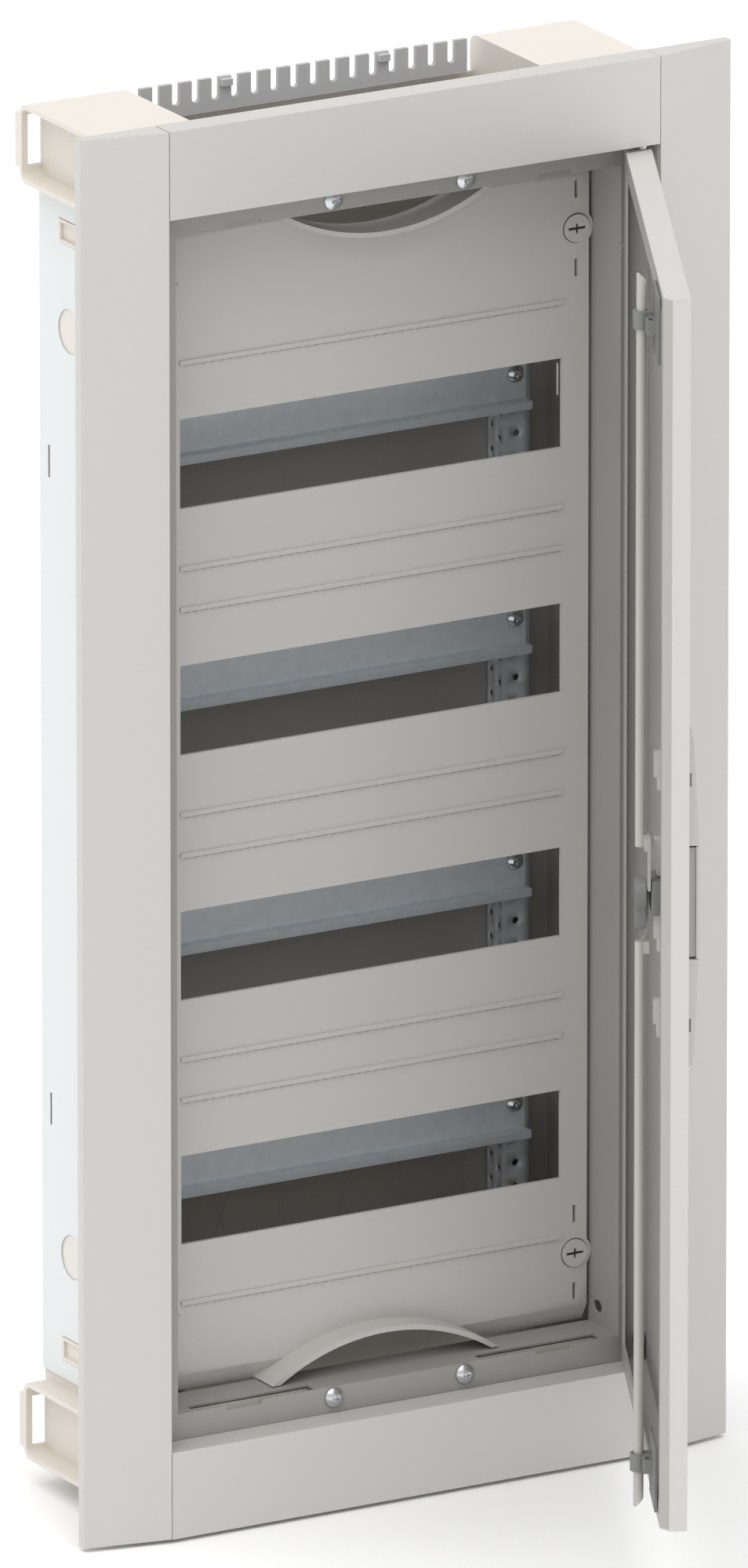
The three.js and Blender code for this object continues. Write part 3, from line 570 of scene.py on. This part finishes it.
def soften(kind, *which):
    """A finished copy of a CAD solid with rounded edges. The node's name is its kind and which one it is."""
    node = "_".join((kind, *which))
    mesh = merged_copy(node)
    round_edges(mesh, EDGES.get(kind, sizes().edge))
    return piece_from(mesh, node)


def flatten(piece, least):
    """Shades each face of at least the given area truly flat, so that it stays even at a glancing angle."""
    for face in piece.data.polygons:
        if face.area >= least:
            face.use_smooth = False


def bar(mesh, low, high):
    """Adds a block between two corners."""
    made = bmesh.ops.create_cube(mesh, size=1)["verts"]
    middle = (low + high) / 2
    bmesh.ops.scale(mesh, vec=high - low, verts=made)
    bmesh.ops.translate(mesh, vec=middle, verts=made)


# ---- perforated uprights ----
def hole_cell(mesh, width, pitch, radius, corner, lift=0.0):
    """A flat cell of sheet round one hole, in the XZ plane, its lower left corner at the given point.
    The hole stands off the middle of the cell by the lift."""
    middle = corner + Vector((width / 2, 0, pitch / 2))
    inner = []
    outer = []
    for i in range(HOLE_SIDES):
        turn = 2 * math.pi * i / HOLE_SIDES + math.pi / 4
        way = Vector((math.cos(turn), 0, math.sin(turn)))
        square = max(abs(way.x), abs(way.z))
        rim = Vector((way.x / square * width / 2, 0, way.z / square * pitch / 2))
        inner.append(mesh.verts.new(middle + way * radius + Vector((0, 0, lift))))
        outer.append(mesh.verts.new(middle + rim))
    rings = []
    for ring in (inner, outer):
        rings += [mesh.edges.new((ring[i], ring[(i + 1) % HOLE_SIDES])) for i in range(HOLE_SIDES)]
    bmesh.ops.bridge_loops(mesh, edges=rings)


def perforated_upright(side, way):
    """A C channel whose front face and inner side are punched with rows of round holes."""
    node = "upright_" + side
    low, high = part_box(node)
    radius = sizes().hole_radius
    width, deep = high.x - low.x, high.y - low.y
    count = round((high.z - low.z) / sizes().hole_pitch)
    step = (high.z - low.z) / count
    mesh = bmesh.new()
    for i in range(count):
        hole_cell(mesh, width, step, radius, Vector((0, 0, low.z + i * step)))
    side_verts = []
    for column in range(SIDE_COLUMNS):
        before = set(mesh.verts)
        lift = (column - 0.5) * step * STAGGER
        for i in range(count):
            corner = Vector((column * deep / SIDE_COLUMNS, 0, low.z + i * step))
            hole_cell(mesh, deep / SIDE_COLUMNS, step, radius * SIDE_HOLE, corner, lift)
        side_verts += [v for v in mesh.verts if v not in before]
    bmesh.ops.rotate(mesh, verts=side_verts, cent=(0, 0, 0), matrix=Matrix.Rotation(math.pi / 2, 3, "Z"))
    corners = ((0, low.z), (deep, low.z), (deep, high.z), (0, high.z))
    mesh.faces.new([mesh.verts.new((width, y, z)) for y, z in corners])
    bmesh.ops.remove_doubles(mesh, verts=mesh.verts, dist=WELD)
    if way < 0:
        bmesh.ops.scale(mesh, vec=(-1, 1, 1), verts=mesh.verts)
    bmesh.ops.translate(mesh, vec=(low.x if way > 0 else high.x, low.y, 0), verts=mesh.verts)
    bmesh.ops.recalc_face_normals(mesh, faces=mesh.faces)
    if any(face.normal.y > 0.9 for face in mesh.faces):
        bmesh.ops.reverse_faces(mesh, faces=mesh.faces)
    piece = piece_from(mesh, node, SHEET_CREASE)
    thick = piece.modifiers.new("sheet", "SOLIDIFY")
    thick.thickness = UPRIGHT_SHEET
    thick.offset = -1


# ---- cable entry mesh ----
def entry_mesh(end):
    """Crossed bars in a light rim."""
    node = "entry_plate_" + end
    low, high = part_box(node)
    pitch, thick = sizes().mesh_pitch, sizes().mesh_bar
    mesh = bmesh.new()
    for axis in (0, 1):
        count = round((high[axis] - low[axis]) / pitch)
        step = (high[axis] - low[axis] - thick) / count
        for i in range(count + 1):
            start, stop = low.copy(), high.copy()
            start[axis] = low[axis] + i * step
            stop[axis] = start[axis] + thick
            start.z += BAR_STEP * axis
            stop.z = start.z + thick * (RIM_BAR if i in (0, count) else 1.0)
            bar(mesh, start, stop)
    piece_from(mesh, node)


# ---- cover details ----
def cover_stitches():
    """A row of short raised dashes under each rib of the cover, where a blank can be broken out."""
    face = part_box("cover_lock_top_left")[0].y + LOCK_HEAD
    reach = Vector((STITCH_LENGTH / 2, STITCH_PROUD, STITCH_HEIGHT / 2))
    mesh = bmesh.new()
    for row in ROWS:
        low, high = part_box(f"mounting_rail_{row}")
        for rib in COVER_RIBS:
            z = (low.z + high.z) / 2 + rib - STITCH_DROP + STITCH_HEIGHT / 2
            for i in range(STITCHES):
                middle = Vector(((i - (STITCHES - 1) / 2) * STITCH_PITCH, face, z))
                bar(mesh, middle - reach, middle + reach)
    added_piece(mesh, "cover_stitches", "cabinet", cover_plastic())


# ---- housing details ----
def back_knockouts():
    """Fine raised rings pressed in the back wall, in a row near each end."""
    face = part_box("rear_housing")[1].y - HOUSING_SHEET
    quarter = Matrix.Rotation(math.pi / 2, 3, "Z")
    mesh = bmesh.new()
    for up in (-1, 1):
        for column in RING_COLUMNS:
            centre = Vector((column * RING_PITCH + RING_SHIFT, face, up * RING_HEIGHT))
            made = bmesh.ops.create_circle(mesh, cap_ends=False, radius=RING_WIRE, segments=WIRE_SIDES)
            wire = made["verts"]
            loop = list(dict.fromkeys(e for v in wire for e in v.link_edges))
            bmesh.ops.rotate(mesh, verts=wire, cent=(0, 0, 0), matrix=quarter)
            bmesh.ops.translate(mesh, verts=wire, vec=centre + Vector((RING_RADIUS, 0, 0)))
            bmesh.ops.spin(
                mesh, geom=wire + loop, cent=centre, axis=(0, 1, 0), angle=2 * math.pi, steps=RING_STEPS,
                use_merge=True,
            )
    bmesh.ops.remove_doubles(mesh, verts=mesh.verts, dist=WELD)
    bmesh.ops.recalc_face_normals(mesh, faces=mesh.faces)
    added_piece(mesh, "back_knockouts", "cabinet", housing_paint())


# ---- operators ----
class BuildFaceFrame(bpy.types.Operator):
    """Folded strips of the sloping frame that covers the edge of the wall recess"""
    bl_idname = "cabinet.face_frame"
    bl_label = "Face frame"

    def execute(self, context):
        for place in SIDES + ENDS:
            soften("frame_strip", place)
        return {"FINISHED"}


class BuildInnerFrame(bpy.types.Operator):
    """Moulded frame behind the door, with its hinge plates and pins"""
    bl_idname = "cabinet.inner_frame"
    bl_label = "Inner frame"

    def execute(self, context):
        soften("inner_frame")
        for end in ENDS:
            soften("hinge_plate", end)
            soften("latch_pin", end)
        return {"FINISHED"}


class BuildHousing(bpy.types.Operator):
    """Sheet housing in the wall, with pressed knockouts"""
    bl_idname = "cabinet.housing"
    bl_label = "Rear housing"

    def execute(self, context):
        soften("rear_housing")
        back_knockouts()
        return {"FINISHED"}


class BuildEndCaps(bpy.types.Operator):
    """Moulded caps with corner lugs, cable combs and entry mesh"""
    bl_idname = "cabinet.end_caps"
    bl_label = "End caps"

    def execute(self, context):
        for end in ENDS:
            soften("end_cap", end)
            soften("cable_comb", end)
            entry_mesh(end)
        return {"FINISHED"}


class BuildUprights(bpy.types.Operator):
    """Punched channels that carry the rails"""
    bl_idname = "cabinet.uprights"
    bl_label = "Uprights"

    def execute(self, context):
        perforated_upright("left", -1)
        perforated_upright("right", 1)
        return {"FINISHED"}


class BuildRails(bpy.types.Operator):
    """Top-hat mounting rails"""
    bl_idname = "cabinet.rails"
    bl_label = "Mounting rails"

    def execute(self, context):
        for row in ROWS:
            soften("mounting_rail", str(row))
        return {"FINISHED"}


class BuildTerminalBars(bpy.types.Operator):
    """Neutral and earth bars behind the cover"""
    bl_idname = "cabinet.terminal_bars"
    bl_label = "Terminal bars"

    def execute(self, context):
        soften("neutral_bar")
        soften("earth_bar")
        return {"FINISHED"}


class BuildCover(bpy.types.Operator):
    """Slotted inner cover with its ribs, quarter-turn locks and posts"""
    bl_idname = "cabinet.cover"
    bl_label = "Inner cover"

    def execute(self, context):
        soften("inner_cover")
        cover_stitches()
        for end in ENDS:
            for side in SIDES:
                soften("cover_lock", end, side)
                soften("cover_post", end, side)
        return {"FINISHED"}


class BuildScrews(bpy.types.Operator):
    """Pan-head screws of the frame and the rails"""
    bl_idname = "cabinet.screws"
    bl_label = "Screws"

    def execute(self, context):
        for side in SIDES:
            for end in ENDS:
                soften("frame_screw", end, side)
            for row in ROWS:
                soften("rail_screw", str(row), side)
        return {"FINISHED"}


class BuildDoor(bpy.types.Operator):
    """Folded door panel and the pins it hangs on"""
    bl_idname = "cabinet.door"
    bl_label = "Door"

    def execute(self, context):
        flatten(soften("door_panel"), DOOR_FLAT)
        for end in ENDS:
            soften("hinge_pin", end)
        return {"FINISHED"}


class BuildHandle(bpy.types.Operator):
    """Handle plate and its lever"""
    bl_idname = "cabinet.handle"
    bl_label = "Handle"

    def execute(self, context):
        soften("handle_plate")
        soften("handle_lever")
        return {"FINISHED"}


class BuildLock(bpy.types.Operator):
    """Lock case, cam, rods and their guides"""
    bl_idname = "cabinet.lock"
    bl_label = "Door lock"

    def execute(self, context):
        soften("lock_case")
        soften("lock_cam")
        for end in ENDS:
            soften("lock_rod", end)
            soften("rod_guide", end)
        return {"FINISHED"}


class SetStage(bpy.types.Operator):
    """Pale floor, soft studio lights and the camera"""
    bl_idname = "cabinet.stage"
    bl_label = "Stage"

    def execute(self, context):
        self.floor()
        self.lights()
        self.camera()
        return {"FINISHED"}

    def floor(self):
        mesh = bmesh.new()
        bmesh.ops.create_grid(mesh, x_segments=1, y_segments=1, size=FLOOR_SIZE)
        bmesh.ops.translate(mesh, vec=(0, 0, CAD_BOX[0][2] - FLOOR_GAP), verts=mesh.verts)
        floor = placed(mesh, "floor", Finish("pale_floor", FLOOR_SHADE, roughness=0.9).material)

    def lights(self):
        world = bpy.data.worlds.new("studio")
        world.use_nodes = True
        background = world.node_tree.nodes["Background"]
        background.inputs["Color"].default_value = (1, 1, 1, 1)
        background.inputs["Strength"].default_value = STUDIO_LIGHT
        bpy.context.scene.world = world
        sky = bpy.data.lights.new("overhead_light", "SUN")
        sky.energy = OVERHEAD_LIGHT
        sky.angle = OVERHEAD_SPREAD
        lamp = bpy.data.objects.new("overhead_light", sky)
        lamp.rotation_euler = Vector(OVERHEAD_WAY).to_track_quat("-Z", "Y").to_euler()
        bpy.context.scene.collection.objects.link(lamp)

    def camera(self):
        level = math.cos(CAMERA_FALL)
        look = Vector((math.sin(CAMERA_TURN) * level, math.cos(CAMERA_TURN) * level, -math.sin(CAMERA_FALL)))
        data = bpy.data.cameras.new("camera")
        data.lens = CAMERA_LENS
        data.sensor_width = CAMERA_SENSOR
        data.clip_end = CAMERA_REACH
        camera = bpy.data.objects.new("camera", data)
        camera.location = CAMERA_TARGET - look * CAMERA_AWAY
        camera.rotation_euler = look.to_track_quat("-Z", "Y").to_euler()
        bpy.context.scene.collection.objects.link(camera)
        bpy.context.scene.camera = camera
        bpy.context.scene.view_settings.view_transform = "Standard"


STEPS = (
    BuildFaceFrame, BuildInnerFrame, BuildHousing, BuildEndCaps, BuildUprights, BuildRails, BuildTerminalBars,
    BuildCover, BuildScrews, BuildDoor, BuildHandle, BuildLock, SetStage,
)


class CabinetPanel(bpy.types.Panel):
    """Lists the build steps of the cabinet"""
    bl_idname = "VIEW3D_PT_cabinet"
    bl_label = "Distribution cabinet"
    bl_space_type = "VIEW_3D"
    bl_region_type = "UI"
    bl_category = "Cabinet"

    def draw(self, context):
        for step in STEPS:
            self.layout.operator(step.bl_idname)


CLASSES = (CabinetColours, CabinetSizes, *STEPS, CabinetPanel)


def register():
    for cls in CLASSES:
        bpy.utils.register_class(cls)
    bpy.types.Scene.cabinet_colours = bpy.props.PointerProperty(type=CabinetColours)
    bpy.types.Scene.cabinet_sizes = bpy.props.PointerProperty(type=CabinetSizes)


def unregister():
    del bpy.types.Scene.cabinet_sizes
    del bpy.types.Scene.cabinet_colours
    for cls in reversed(CLASSES):
        bpy.utils.unregister_class(cls)


def main():
    register()
    for step in STEPS:
        group, name = step.bl_idname.split(".")
        getattr(getattr(bpy.ops, group), name)()


if __name__ == "__main__":
    main()
